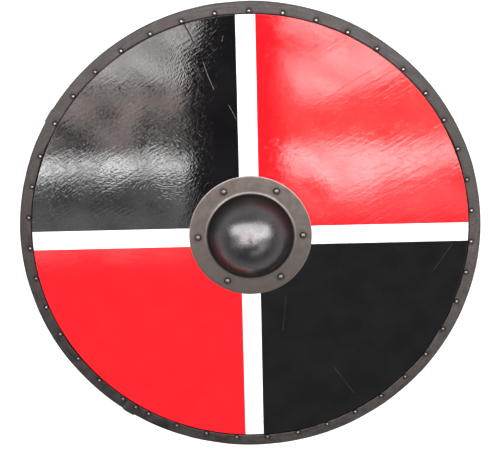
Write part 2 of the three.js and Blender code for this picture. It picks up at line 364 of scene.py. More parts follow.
# %% Node group for wood grain along X
def make_grain():
    """Figure and pores of wood, each from 0 to 1."""
    inputs = [("Vector", ORIGIN), ("Figure Width", 0.006)]
    group, given, result = new_group("grain", inputs, ["Figure", "Pores"])
    stretched = scaled(group, given["Vector"], (0.12, 1.0, 1.0))
    scale = reckon(group, "DIVIDE", 0.5, given["Figure Width"])
    field = add(group, "TexNoise", {"Vector": stretched, "Scale": scale, "Detail": 1.5}).outputs["Fac"]
    figure = reckon(group, "PINGPONG", reckon(group, "MULTIPLY", field, 7.0), 1.0)
    pore_space = scaled(group, given["Vector"], (160.0, 2200.0, 2200.0))
    pores = ramp(group, cloud(group, pore_space, 1.0, 1.0), 0.6, 0.75)
    group.links.new(figure, result["Figure"])
    group.links.new(pores, result["Pores"])
    return group


grain = make_grain()

# %% [markdown]
# The painted face has two black and two red quarters parted by white bands. Paint could be put on with an
# image, but the pattern is so plain that a formula gives it with crisp edges at any size: a band is every
# place near one of two lines, with a slight wobble where masking tape was pulled.

# %% Masks for the bands and the scratches
BAND_WIDTH = 31 * MM
BAND_CENTRE = (-0.8 * MM, -1.1 * MM)
BAND_EDGE = 0.35 * MM
TAPE_WOBBLE = 0.7 * MM


def band_mask(tree, offset, wobble):
    """1 on a band whose middle line is where offset is 0."""
    gap = reckon(tree, "ABSOLUTE", reckon(tree, "ADD", offset, wobble))
    return ramp(tree, gap, BAND_WIDTH / 2 + BAND_EDGE, BAND_WIDTH / 2 - BAND_EDGE)


def scratch_mask(tree, place, lines, width):
    """All these lines, given in millimetres on the board, as one mask."""
    mask = 0.0
    for start, end in lines:
        ends = {"From": (start[0] * MM, start[1] * MM, 0.0), "To": (end[0] * MM, end[1] * MM, 0.0)}
        line = use(tree, scratch, {"Vector": place, "Width": width, **ends})["Mask"]
        mask = reckon(tree, "MAXIMUM", line, mask)
    return mask


# %% [markdown]
# The thick gloss lacquer was brushed on, so its reflections break up in fine strokes. One direction
# everywhere would look combed. Two crossing directions are the ground, noise masks change them for others
# here and there, and long sweeps of the brush grow stronger towards the right.

# %% Height of the brushed lacquer
STROKE_WIDTH = 1.8 * MM
STROKE_LENGTH = 7 * MM
STROKE_TURNS = (45, -45, 118, 4)
SWEEP_WIDTH = 3.6 * MM
SWEEP_LENGTH = 50 * MM
SWEEP_TURN = -30
SWEEPS_GROW_FROM = 60 * MM
SWEEPS_GROW_TO = 260 * MM
LACQUER_RELIEF = 0.0175 * MM


def brushed(tree, place, degrees, length, width):
    """Strokes of this length and width, turned by this angle."""
    sockets = {"Vector": place, "Turn": math.radians(degrees), "Length": length, "Width": width}
    return use(tree, strokes, sockets)["Height"]


def brushed_lacquer(tree, place):
    """Height of the brushed lacquer: short strokes in four directions, and long sweeps to the right."""
    layers = [brushed(tree, place, degrees, STROKE_LENGTH, STROKE_WIDTH) for degrees in STROKE_TURNS]
    crossing = reckon(tree, "MAXIMUM", layers[0], layers[1])
    share = ramp(tree, cloud(tree, place, 9.0, 1.0), 0.52, 0.66)
    height = add(tree, "Mix", {0: share, 2: crossing, 3: layers[2]}).outputs[0]
    share = ramp(tree, cloud(tree, place, 7.0, 1.0), 0.56, 0.68)
    height = add(tree, "Mix", {0: share, 2: height, 3: layers[3]}).outputs[0]
    sweeps = brushed(tree, place, SWEEP_TURN, SWEEP_LENGTH, SWEEP_WIDTH)
    across = add(tree, "SeparateXYZ", {"Vector": place}).outputs["X"]
    weight = ramp(tree, across, SWEEPS_GROW_FROM, SWEEPS_GROW_TO, 0.5, 1.15)
    return reckon(tree, "ADD", height, reckon(tree, "MULTIPLY", sweeps, weight))


# %% [markdown]
# Paint, wear and lacquer come together in one material. Painted shade darkens the paint along the rim's
# edge, and a painted shadow keeps the seam under it dark from every side: a black metal mirrors nothing,
# where a black paint still would.
# A crack starts at the upper edge, and a few scratches show paler than the black around them.

# %% Material of the painted face
PAINT_RED = colour(0.93, 0.009, 0.0135)
PAINT_RED_DEEP = colour(0.86, 0.007, 0.0115)
PAINT_BLACK = colour(0.0038, 0.0034, 0.0038)
PAINT_BLACK_WORN = colour(0.006, 0.0055, 0.006)
PAINT_WHITE = colour(0.92, 0.87, 0.9)
SCRATCH_WIDTH = 0.5 * MM
CRACK_WIDTH = 1.1 * MM
CRACKS = [((-96.8, 347.4), (-88.0, 330.2)), ((-88.0, 330.2), (-82.2, 316.0))]
LIGHT_SCRATCHES = [
    ((-69.0, 287.5), (-61.8, 265.2)), ((-61.8, 265.2), (-53.0, 242.8)), ((-30.5, 218.2), (-25.2, 208.4)),
    ((-25.2, 208.4), (-19.1, 195.3)), ((-36.2, 327.4), (-38.0, 319.7)),
]
FAINT_SCRATCHES = [
    ((334.1, -22.3), (303.6, -68.6)), ((137.9, -237.4), (172.4, -286.7)),
    ((57.2, -108.6), (51.4, -167.7)),
]
EDGE_SHADE_FROM = RIM_INNER - 2.8 * MM
EDGE_SHADE_TO = RIM_INNER - 0.8 * MM
SEAM_SHADOW_FROM = RIM_INNER - 1.7 * MM
SEAM_SHADOW_TO = RIM_INNER - 1.2 * MM


def painted_quarters(tree, place):
    """The paint without its wear, and the mask of the white bands."""
    axes = add(tree, "SeparateXYZ", {"Vector": place}).outputs
    x = reckon(tree, "SUBTRACT", axes["X"], BAND_CENTRE[0])
    y = reckon(tree, "SUBTRACT", axes["Y"], BAND_CENTRE[1])
    wobble = reckon(tree, "MULTIPLY", reckon(tree, "SUBTRACT", cloud(tree, place, 35.0), 0.5), TAPE_WOBBLE)
    band = reckon(tree, "MAXIMUM", band_mask(tree, x, wobble), band_mask(tree, y, wobble))
    red_quarter = reckon(tree, "GREATER_THAN", reckon(tree, "MULTIPLY", x, y), 0.0)
    uneven = ramp(tree, cloud(tree, place, 26.0, 4.0), 0.3, 0.7)
    red = blend(tree, uneven, PAINT_RED, PAINT_RED_DEEP)
    black = blend(tree, uneven, PAINT_BLACK, PAINT_BLACK_WORN)
    paint = blend(tree, red_quarter, black, red)
    return blend(tree, band, paint, PAINT_WHITE), band


def make_painted_face():
    material, tree, shader, place = new_material("lacquered_quarters", IOR=1.5)
    paint, band = painted_quarters(tree, place)

    light_scratches = scratch_mask(tree, place, LIGHT_SCRATCHES, SCRATCH_WIDTH)
    faint = reckon(tree, "MULTIPLY", scratch_mask(tree, place, FAINT_SCRATCHES, SCRATCH_WIDTH), 0.16)
    cracks = scratch_mask(tree, place, CRACKS, CRACK_WIDTH)
    broken = ramp(tree, cloud(tree, place, 240.0), 0.38, 0.55, 0.25, 0.9)
    worn = reckon(tree, "MULTIPLY", reckon(tree, "ADD", light_scratches, faint), broken)
    paint = blend(tree, worn, paint, colour(0.2, 0.18, 0.17))
    paint = blend(tree, cracks, paint, colour(0.003, 0.003, 0.003))
    radius = add(tree, "VectorMath", {0: place}, operation="LENGTH").outputs["Value"]
    # Painted shade: the paint darkens towards the rim's inner edge.
    edge_shade = ramp(tree, radius, EDGE_SHADE_FROM, EDGE_SHADE_TO, 0.0, 0.8)
    paint = blend(tree, edge_shade, paint, colour(0.012, 0.009, 0.008))
    # Painted shadow: the seam under the rim's edge is made black and mirrorless, as the cracks are.
    seam_shadow = ramp(tree, radius, SEAM_SHADOW_FROM, SEAM_SHADOW_TO)
    seam_shadow_and_cracks = reckon(tree, "MAXIMUM", seam_shadow, cracks)
    paint = blend(tree, seam_shadow_and_cracks, paint, colour(0.006, 0.005, 0.005))
    tree.links.new(paint, shader.inputs["Base Color"])
    tree.links.new(seam_shadow_and_cracks, shader.inputs["Metallic"])

    lacquer = brushed_lacquer(tree, place)
    grit = cloud(tree, place, 300.0, 0.6, 0.5)
    nibs = ramp(tree, cloud(tree, place, 390.0, 0.0), 0.68, 0.8)
    haze = ramp(tree, cloud(tree, place, 14.0, 5.0, 0.6), 0.35, 0.75, 0.01, 0.04)
    rough = reckon(tree, "ADD", haze, reckon(tree, "MULTIPLY", edge_shade, 0.4))
    rough = reckon(tree, "ADD", rough, reckon(tree, "MULTIPLY", cracks, 0.6))
    tree.links.new(rough, shader.inputs["Roughness"])
    height = reckon(tree, "ADD", lacquer, reckon(tree, "MULTIPLY", grit, 0.7))
    height = reckon(tree, "ADD", height, reckon(tree, "MULTIPLY", nibs, 0.4))
    height = reckon(tree, "ADD", height, reckon(tree, "MULTIPLY", band, 1.2))
    height = reckon(tree, "SUBTRACT", height, reckon(tree, "MULTIPLY", cracks, 8.0))
    set_bump(tree, shader, height, LACQUER_RELIEF)
    return material


painted_face = make_painted_face()

# %% [markdown]
# The back of the board isn't seen in use and stays plain: varnished birch plywood. Its outer ply shows
# grain along X, and the wall of the hand hole shows the plies as thin layers, light and dark in turn.

# %% Material of the bare plywood
PLY_COUNT = 7


def make_plywood():
    material, tree, shader, place = new_material("varnished_plywood", IOR=1.5)
    axes = add(tree, "SeparateXYZ", {"Vector": place}).outputs
    wood = use(tree, grain, {"Vector": place, "Figure Width": 14 * MM})
    face = glaze(tree, colour(0.52, 0.35, 0.19), colour(0.4, 0.24, 0.12), wood["Figure"], 0.55)
    face = glaze(tree, face, colour(0.2, 0.11, 0.05), wood["Pores"], 0.5)
    ply = (BOARD_FACE - BOARD_BACK) / PLY_COUNT
    layer = reckon(tree, "PINGPONG", reckon(tree, "SUBTRACT", axes["Z"], BOARD_BACK), ply)
    dark_ply = ramp(tree, layer, ply * 0.35, ply * 0.65)
    edge = blend(tree, dark_ply, colour(0.42, 0.27, 0.14), colour(0.2, 0.11, 0.055))
    inside = ramp(tree, axes["Z"], BOARD_BACK + 0.2 * MM, BOARD_BACK + 0.35 * MM)
    stain = ramp(tree, cloud(tree, place, 8.0, 4.0), 0.45, 0.8, 0.0, 0.45)
    wood_colour = blend(tree, stain, blend(tree, inside, face, edge), colour(0.24, 0.14, 0.07))
    tree.links.new(wood_colour, shader.inputs["Base Color"])
    tree.links.new(ramp(tree, wood["Pores"], 0.0, 1.0, 0.38, 0.6), shader.inputs["Roughness"])
    height = reckon(tree, "SUBTRACT", reckon(tree, "MULTIPLY", wood["Figure"], 0.25), wood["Pores"])
    set_bump(tree, shader, height, 0.05 * MM)
    return material


plywood = make_plywood()

# %% [markdown]
# The board itself. Its section is a plain rectangle, so four corners and a full spin make it. Only the
# painted face is divided further, because real plywood is never quite flat: each vertex there sinks by
# about a tenth of a millimetre, which is enough to bend the reflections in the lacquer.

# %% Spin the board
BOARD_STEPS = 240
FACE_RINGS = 26
BOARD_WAVE = 0.17 * MM
WAVE_LENGTH = 0.12


def board_sink(x, y):
    """How far the painted face lies below its highest level."""
    long_wave = noise.noise(Vector((x / WAVE_LENGTH, y / WAVE_LENGTH, 3.1)))
    short_wave = noise.noise(Vector((x * 2.6 / WAVE_LENGTH, y * 2.6 / WAVE_LENGTH, 7.7)))
    return BOARD_WAVE * (0.5 + 0.42 * long_wave + 0.1 * short_wave)


def make_board():
    bm = bmesh.new()
    corners = [(HAND_HOLE, BOARD_BACK), (BOARD_RADIUS, BOARD_BACK), (BOARD_RADIUS, BOARD_FACE),
               (HAND_HOLE, BOARD_FACE)]
    verts = [bm.verts.new((radius, 0, height)) for radius, height in corners]
    edges = [bm.edges.new((verts[at - 1], verts[at])) for at in range(4)]
    bmesh.ops.subdivide_edges(bm, edges=[edges[3]], cuts=FACE_RINGS)
    bmesh.ops.spin(bm, geom=bm.verts[:] + bm.edges[:], cent=(0, 0, 0), axis=(0, 0, 1),
                   angle=math.tau, steps=BOARD_STEPS, use_merge=True)
    close_up(bm)
    for vert in bm.verts:
        if vert.co.z > BOARD_FACE - 0.01 * MM:
            vert.co.z -= board_sink(vert.co.x, vert.co.y)
    return object_from(bm, "shield_board")


board = make_board()

# %% [markdown]
# The board is then worked as in the shop: a router takes out the two pockets for the ends of the grip, in
# one long stadium that crosses the hand hole, and a drill makes a hole for each rivet.

# %% Rout the pockets and drill the holes
POCKET_LENGTH = grip_high.x + FIT_GAP
POCKET_HALF_WIDTH = grip_high.y + FIT_GAP
POCKET_TOP = grip_low.z + GRIP_PAD_THICKNESS + FIT_GAP
HOLE_CLEARANCE = 0.2 * MM
DRILL_LENGTH = 60 * MM
RIM_SHANK = 1.5 * MM
BOSS_SHANK = 2.4 * MM


def pocket_tool():
    """A bar with half-round ends, as wide as the pockets."""
    bm = bmesh.new()
    bmesh.ops.create_cube(bm, size=1)
    depth = POCKET_TOP - RIM_BACK + 1 * MM
    bmesh.ops.scale(bm, vec=(2 * POCKET_LENGTH, 2 * POCKET_HALF_WIDTH, depth), verts=bm.verts)
    bmesh.ops.translate(bm, vec=(0, 0, POCKET_TOP - depth / 2), verts=bm.verts)
    upright = [edge for edge in bm.edges if abs(edge.verts[0].co.z - edge.verts[1].co.z) > depth / 2]
    bmesh.ops.bevel(bm, geom=upright, offset=POCKET_HALF_WIDTH * 0.999, segments=12, profile=0.5,
                    affect="EDGES", material=-1)
    return bm


def drill_tool(places, shank):
    """A round bar through the board at each place."""
    bm = bmesh.new()
    for name, x, y, low, high in places:
        bmesh.ops.create_cone(bm, cap_ends=True, segments=16, radius1=shank + HOLE_CLEARANCE,
                              radius2=shank + HOLE_CLEARANCE, depth=DRILL_LENGTH,
                              matrix=Matrix.Translation((x, y, BOARD_BACK)))
    return bm


cut_away(board, pocket_tool())
cut_away(board, drill_tool(rim_rivets, RIM_SHANK))
cut_away(board, drill_tool(boss_rivets, BOSS_SHANK))
print("pockets", round(POCKET_TOP / MM, 2), "mm up,", len(rim_rivets) + len(boss_rivets), "holes")
finished(board, ["board"], [painted_face, plywood])
for polygon in board.data.polygons:
    is_face = polygon.normal.z > 0.9 and polygon.center.z > BOARD_FACE - 2 * BOARD_WAVE
    polygon.material_index = 0 if is_face else 1

# %% [markdown]
# The rim is mild steel strip, folded over the edge of the board and blackened. It has been handled and
# hammered, so long faint streaks run along it. A streak must follow the curve: the direction from the
# middle of the board gives a slow noise along the rim, and the way across the strip, from the inner
# edge out and over the fold, a fast one. Painted shade darkens the fold and a painted highlight lightens
# its outer edge. Towards the lower right the steel turns a paler brown.

# %% Material of the rim steel
STREAK_LENGTH = 45 * MM
STREAK_WIDTH = 1.6 * MM
BROWN_TINT_START = 120 * MM
BROWN_TINT_FULL = 480 * MM
RIM_STEEL_DARK = colour(0.035, 0.0315, 0.0315)
RIM_STEEL_LIGHT = colour(0.06, 0.0555, 0.056)


def streaks_round(tree, place, length, width):
    """Streaks that run round the board's middle."""
    flat = scaled(tree, place, (1.0, 1.0, 0.0))
    way = add(tree, "VectorMath", {0: flat}, operation="NORMALIZE").outputs[0]
    way = add(tree, "VectorMath", {0: way, "Scale": RIM_RADIUS / length}, operation="SCALE").outputs[0]
    radius = add(tree, "VectorMath", {0: flat}, operation="LENGTH").outputs["Value"]
    height = add(tree, "SeparateXYZ", {"Vector": place}).outputs["Z"]
    across = reckon(tree, "DIVIDE", reckon(tree, "SUBTRACT", radius, height), width)
    sockets = {"Vector": way, "W": across, "Scale": 1.0, "Detail": 3.0, "Roughness": 0.6}
    return add(tree, "TexNoise", sockets, noise_dimensions="4D").outputs["Fac"], radius


def make_rim_steel():
    material, tree, shader, place = new_material("blackened_rim_steel", Metallic=1.0)
    streaks, radius = streaks_round(tree, place, STREAK_LENGTH, STREAK_WIDTH)
    bloom = use(tree, oxide, {"Vector": place, "Cloud Size": 15 * MM, "Speck Size": 2.0 * MM})
    steel = blend(tree, ramp(tree, streaks, 0.35, 0.68), RIM_STEEL_DARK, RIM_STEEL_LIGHT)
    steel = glaze(tree, steel, colour(0.068, 0.055, 0.051), bloom["Clouds"], 0.55)
    steel = glaze(tree, steel, colour(0.026, 0.022, 0.021), bloom["Specks"], 0.6)
    # Painted shade darkens the fold, and a painted highlight lightens its outer edge.
    fold_shade = ramp(tree, radius, RIM_RADIUS - 4.5 * MM, RIM_RADIUS - 2.0 * MM)
    steel = glaze(tree, steel, colour(0.04, 0.037, 0.035), fold_shade, 0.55)
    fold_highlight = ramp(tree, radius, RIM_RADIUS - 1.0 * MM, RIM_RADIUS - 0.4 * MM, 0.0, 0.5)
    steel = blend(tree, fold_highlight, steel, colour(0.17, 0.16, 0.155))
    axes = add(tree, "SeparateXYZ", {"Vector": place}).outputs
    # Towards the lower right the steel is tinted a paler, speckled brown.
    down_right = reckon(tree, "SUBTRACT", axes["X"], axes["Y"])
    low_right = ramp(tree, down_right, BROWN_TINT_START, BROWN_TINT_FULL, 0.0, 0.62)
    speckled = ramp(tree, cloud(tree, place, 260.0), 0.35, 0.6, 0.35, 1.0)
    brown_tint = reckon(tree, "MULTIPLY", low_right, speckled)
    steel = blend(tree, brown_tint, steel, colour(0.105, 0.09, 0.085))
    # Painted shade round each rivet on the rim.
    near = add(tree, "Attribute", attribute_name="near_rivet").outputs["Fac"]
    steel = glaze(tree, steel, colour(0.018, 0.016, 0.015), near, 0.85)
    tree.links.new(steel, shader.inputs["Base Color"])
    rough = ramp(tree, reckon(tree, "ADD", streaks, bloom["Clouds"]), 0.5, 1.4, 0.34, 0.52)
    tree.links.new(rough, shader.inputs["Roughness"])
    height = reckon(tree, "SUBTRACT", streaks, reckon(tree, "MULTIPLY", bloom["Specks"], 0.6))
    set_bump(tree, shader, height, 0.06 * MM)
    return material


rim_steel = make_rim_steel()

# %% [markdown]
# Each strip is a channel: a front leg, a wall and a back leg. A curve with a bevel profile could sweep it,
# but couldn't end in a tongue. So the section is drawn flat in two faces, the upper one being all that
# goes on into the tongue, and vertex bevels round its folds.

# %% Section of the folded strip
LEG_CUTS = 7
LIP_RADIUS = 0.3 * MM
WALL_BREAK = RIM_BACK + RIM_BEND_RADIUS + 0.4 * MM


def draw_section(bm):
    """The channel's section in the XZ plane, as an upper and a lower face."""
    inner, outer, sheet = RIM_INNER, RIM_RADIUS, RIM_SHEET
    upper = [(inner, RIM_FRONT - sheet), (inner, RIM_FRONT), (outer, RIM_FRONT), (outer, WALL_BREAK),
             (outer - sheet, WALL_BREAK), (outer - sheet, RIM_FRONT - sheet)]
    lower = [(outer - sheet, RIM_BACK + sheet), (inner, RIM_BACK + sheet), (inner, RIM_BACK),
             (outer, RIM_BACK)]
    top = [bm.verts.new((radius, 0, height)) for radius, height in upper]
    bottom = [bm.verts.new((radius, 0, height)) for radius, height in lower]
    bm.faces.new(top)
    bm.faces.new([top[3], top[4]] + bottom)
    folds = [(top[2], RIM_BEND_RADIUS, 5), (bottom[3], RIM_BEND_RADIUS, 5),
             (top[5], RIM_BEND_RADIUS - sheet, 3), (bottom[0], RIM_BEND_RADIUS - sheet, 3)]
    lips = [(vert, LIP_RADIUS, 2) for vert in (top[0], top[1], bottom[1], bottom[2])]
    for vert, radius, segments in folds + lips:
        bmesh.ops.bevel(bm, geom=[vert], offset=radius, segments=segments, profile=0.5,
                        affect="VERTICES", material=-1)
    legs = [edge for edge in bm.edges if edge.calc_length() > RIM_LEG_WIDTH / 2]
    bmesh.ops.subdivide_edges(bm, edges=legs, cuts=LEG_CUTS)


def spin_round(bm, geom, degrees, steps):
    """Sweeps geometry about the board's middle and returns what it ends in."""
    swept = bmesh.ops.spin(bm, geom=geom, cent=(0, 0, 0), axis=(0, 0, 1),
                           angle=math.radians(degrees), steps=steps)
    return swept["geom_last"]


def with_edges(faces):
    """These faces with all their edges and vertices."""
    edges = {edge for face in faces for edge in face.edges}
    verts = {vert for face in faces for vert in face.verts}
    return list(faces) + list(edges) + list(verts)


# %% [markdown]
# Straight from the spin the strip is too perfect. Its front leg is pressed down at each rivet and
# springs up a little between them, its inner edge was cut by hand and wavers, and hammering left the
# wall slightly uneven. A formula moves each vertex by the way it lies round and across the strip.

# %% Hand-made unevenness of the strips
LEG_WAVER = 1.3 * MM
LEG_WAVES = 7
WALL_WAVER = 0.9 * MM
WALL_WAVES = 9
LEG_SPRING = 0.22 * MM
RIVET_DENT = 0.16 * MM
RIVET_DENT_SIZE = 7 * MM
SPRING_FROM = 8 * MM
SPRING_TO = 26 * MM
HAMMER_MARKS = 0.1 * MM
HAMMER_MARKS_PER_METRE = 60
RIM_RIVET_SHADE_SIZE = 5.6 * MM


def round_noise(degrees, waves, seed):
    """A noise from -1 to 1 that closes on itself round the board. More waves make it quicker."""
    angle = math.radians(degrees)
    return noise.noise(Vector((math.cos(angle) * waves, math.sin(angle) * waves, seed)))


# The stored closeness is used to paint a shade round each rivet.
def mark_rivet_shade(bm, places, size):
    """Stores how close each vertex is to a rivet, from 1 under its middle to 0 far away."""
    near = bm.verts.layers.float.new("near_rivet")
    for vert in bm.verts:
        gap = min(math.hypot(vert.co.x - x, vert.co.y - y) for name, x, y, low, high in places)
        vert[near] = math.exp(-(gap / size) ** 4)


def way_to_rivet(degrees):
    """Distance along the rim to the nearest rivet, in metres."""
    nearest = min(abs((degrees - other + 180) % 360 - 180) for other in rim_rivet_turns)
    return math.radians(nearest) * RIM_RADIUS


def uneven_strip(bm, lap_start, start):
    """Moves the vertices of a strip whose tongue starts at lap_start degrees."""
    joggle = math.degrees(JOGGLE_LENGTH / RIM_RADIUS)
    for vert in bm.verts:
        x, y, z = vert.co
        radius = math.hypot(x, y)
        # Angles run on from two degrees before the strip's start, so the tongue has the largest ones.
        degrees = (turn(x, y) - start + 2) % 360 + start - 2
        inwards = min(max((RIM_RADIUS - radius) / RIM_LEG_WIDTH, 0), 1)
        front = soft_step(z, BOARD_BACK + 4 * MM, BOARD_FACE - 1 * MM)
        wall = 1 - soft_step(inwards, 0.0, 0.3)
        lift = LAP_LIFT * soft_step(degrees, lap_start - joggle, lap_start)
        gap = way_to_rivet(degrees)
        dent = RIVET_DENT * math.exp(-(gap / RIVET_DENT_SIZE) ** 2) * soft_step(inwards, 0.35, 0.8)
        spring = LEG_SPRING * soft_step(gap, SPRING_FROM, SPRING_TO) * inwards ** 2
        spot = Vector((x * HAMMER_MARKS_PER_METRE, y * HAMMER_MARKS_PER_METRE, 2.0))
        marks = HAMMER_MARKS * noise.noise(spot)
        waver = LEG_WAVER * round_noise(degrees, LEG_WAVES, 5.0 + 3 * front) * inwards
        dish = WALL_WAVER * (0.5 + 0.5 * round_noise(degrees, WALL_WAVES, 1.5)) * wall
        new_radius = radius - waver - dish + lift * wall
        if lift > 0 and z < WALL_BREAK + 0.01 * MM:
            z -= (WALL_BREAK - TONGUE_LIP) * lift / LAP_LIFT
        z += front * (lift + spring - dent + marks - HAMMER_MARKS)
        vert.co = Vector((x * new_radius / radius, y * new_radius / radius, z))


# %% [markdown]
# Now the section goes round the board in three stretches: the plain channel, the short joggle in fine
# steps, because the sheet bends there, and the tongue that laps over the other strip. The two strips
# differ only in the angles at which they start, lap and end, so one function makes both.

# %% Spin the two strips
STEP_DEGREES = 0.5
JOGGLE_STEPS = 6
LAP_STEPS = 8


def make_strip(name, start, lap_start, end):
    """A strip from start to end, in degrees, whose last stretch laps over the other strip."""
    bm = bmesh.new()
    draw_section(bm)
    to_start = Matrix.Rotation(math.radians(start), 3, "Z")
    bmesh.ops.rotate(bm, cent=(0, 0, 0), matrix=to_start, verts=bm.verts)
    joggle = math.degrees(JOGGLE_LENGTH / RIM_RADIUS)
    plain = lap_start - joggle - start
    last = spin_round(bm, with_edges(bm.faces), plain, round(plain / STEP_DEGREES))
    faces = [item for item in last if isinstance(item, bmesh.types.BMFace)]
    upper = [face for face in faces if face.calc_center_median().z > WALL_BREAK]
    last = spin_round(bm, with_edges(upper), joggle, JOGGLE_STEPS)
    faces = [item for item in last if isinstance(item, bmesh.types.BMFace)]
    spin_round(bm, with_edges(faces), end - lap_start, LAP_STEPS)
    open_edges = [edge for edge in bm.edges if edge.is_boundary]
    bmesh.ops.holes_fill(bm, edges=open_edges)
    close_up(bm)
    uneven_strip(bm, lap_start, start)
    mark_rivet_shade(bm, rim_rivets, RIM_RIVET_SHADE_SIZE)
    print(name, "open edges:", sum(edge.is_boundary or not edge.is_manifold for edge in bm.edges))
    return object_from(bm, name)


def degrees_of(length):
    """The angle that a length along the rim takes up."""
    return math.degrees(length / RIM_RADIUS)


upper_lap_end = lap_turn["rim_rivet_lap_1"] + degrees_of(LAP_RIVET_FROM_END)
lower_lap_end = lap_turn["rim_rivet_lap_2"] + degrees_of(LAP_RIVET_FROM_END)
lap = degrees_of(LAP_LENGTH)
gap_turn = degrees_of(FIT_GAP)
long_strip = make_strip("folded_rim_long", lower_lap_end - lap + gap_turn, upper_lap_end + 360 - lap,
                        upper_lap_end + 360)
short_strip = make_strip("folded_rim_short", upper_lap_end - lap + gap_turn, lower_lap_end - lap,
                         lower_lap_end)
finished(long_strip, ["rim_strip_long"], [rim_steel])
finished(short_strip, ["rim_strip_short"], [rim_steel])

# %% [markdown]
# The boss is pressed from sheet and browned, darker and smoother than the rim. Handling has left a soft
# sheen on the dome, painted shade darkens the dome round its foot, a painted highlight lightens the
# rounded corner there, and the oxide shows as faint clouds on the flange.
# Each of these is a mask worked out from the height or from the distance to the middle. A dull tint at
# grazing angles keeps the foot of the dome from mirroring the red paint like polished steel.

# %% Material of the boss steel
DULL_GRAZE = colour(0.12, 0.11, 0.11)
BOSS_STEEL_LIGHT = colour(0.122, 0.104, 0.096)
BOSS_STEEL_DARK = colour(0.086, 0.071, 0.064)


def make_boss_steel():
    material, tree, shader, place = new_material("browned_boss_steel", Metallic=1.0,
                                                 Specular_Tint=DULL_GRAZE)
    bloom = use(tree, oxide, {"Vector": place, "Cloud Size": 16 * MM, "Speck Size": 0.9 * MM})
    rings, radius = streaks_round(tree, place, 30 * MM, 0.9 * MM)
    steel = blend(tree, bloom["Clouds"], BOSS_STEEL_LIGHT, BOSS_STEEL_DARK)
    steel = glaze(tree, steel, colour(0.055, 0.046, 0.041), bloom["Specks"], 0.4)
    steel = blend(tree, ramp(tree, rings, 0.55, 0.75, 0.0, 0.35), steel, colour(0.2, 0.187, 0.18))
    edge = ramp(tree, radius, FLANGE_RADIUS - 1.6 * MM, FLANGE_RADIUS - 0.4 * MM, 0.0, 0.6)
    steel = blend(tree, edge, steel, colour(0.26, 0.245, 0.24))
    height = add(tree, "SeparateXYZ", {"Vector": place}).outputs["Z"]
    dome = ramp(tree, height, FLANGE_TOP + 6 * MM, FLANGE_TOP + 20 * MM, 0.0, 0.7)
    steel = blend(tree, dome, steel, colour(0.138, 0.133, 0.138))
    # Painted shade: the dome darkens towards its foot, fully below 17 mm and fading out by 40 mm above the
    # flange.
    foot = ramp(tree, height, FLANGE_TOP + 40 * MM, FLANGE_TOP + 17 * MM)
    on_dome = ramp(tree, radius, DOME_FOOT + 0.4 * MM, DOME_FOOT - 0.4 * MM)
    foot_shade = reckon(tree, "MULTIPLY", foot, on_dome)
    steel = glaze(tree, steel, colour(0.042, 0.038, 0.038), foot_shade, 0.86)
    # Painted highlight: the rounded corner at the dome's foot is lightened.
    fillet_highlight = reckon(tree, "MULTIPLY", ramp(tree, radius, DOME_FOOT - 0.2 * MM, DOME_FOOT + 0.8 * MM),
                    ramp(tree, radius, DOME_FOOT + 5 * MM, DOME_FOOT + 2.5 * MM))
    steel = glaze(tree, steel, colour(0.26, 0.245, 0.235), fillet_highlight, 0.25)
    # Painted shade round each rivet on the flange.
    near = add(tree, "Attribute", attribute_name="near_rivet").outputs["Fac"]
    steel = glaze(tree, steel, colour(0.03, 0.026, 0.024), near, 0.8)
    tree.links.new(steel, shader.inputs["Base Color"])
    handled = ramp(tree, height, FLANGE_TOP + 20 * MM, FLANGE_TOP + 34 * MM, 0.0, 0.1)
    rough = reckon(tree, "SUBTRACT", ramp(tree, bloom["Clouds"], 0.0, 1.0, 0.3, 0.4), handled)
    rough = reckon(tree, "ADD", rough, reckon(tree, "MULTIPLY", foot_shade, 0.2))
    tree.links.new(rough, shader.inputs["Roughness"])
    relief = reckon(tree, "SUBTRACT", reckon(tree, "MULTIPLY", rings, 0.5), bloom["Specks"])
    set_bump(tree, shader, relief, 0.03 * MM)
    return material


boss_steel = make_boss_steel()

# %% [markdown]
# The boss is turned from one line. A vertex at the top of the dome is spun about the dome's centre to
# draw its arc, the end of the arc is extruded out to the flange's edge, and a bevel rounds the corner
# between them. A full spin makes the skin, and a Solidify modifier gives it the sheet's thickness
# inwards. Small dents keep it from looking like a machined part.

# %% Spin the boss
DOME_ARC_STEPS = 24
BOSS_STEPS = 144
FLANGE_RINGS = 9
DOME_DENTS = 0.35 * MM
DENTS_PER_METRE = 22
SHEET_THINNING = 0.1 * MM
SHEET_EDGE_RADIUS = 0.35 * MM
BOSS_RIVET_SHADE_SIZE = 7.2 * MM


def dent(bm):
    """Lets the outer skin sink a little where the press and the hammer left it uneven."""
    for vert in bm.verts:
        z = vert.co.z
        depth = DOME_DENTS * (0.5 + 0.5 * noise.noise(vert.co * DENTS_PER_METRE))
        if z > FLANGE_TOP + 1 * MM:
            centre = Vector((0, 0, DOME_CENTRE))
            vert.co -= (vert.co - centre).normalized() * depth
        elif z > FLANGE_TOP - 0.01 * MM:
            vert.co.z -= depth * 0.25


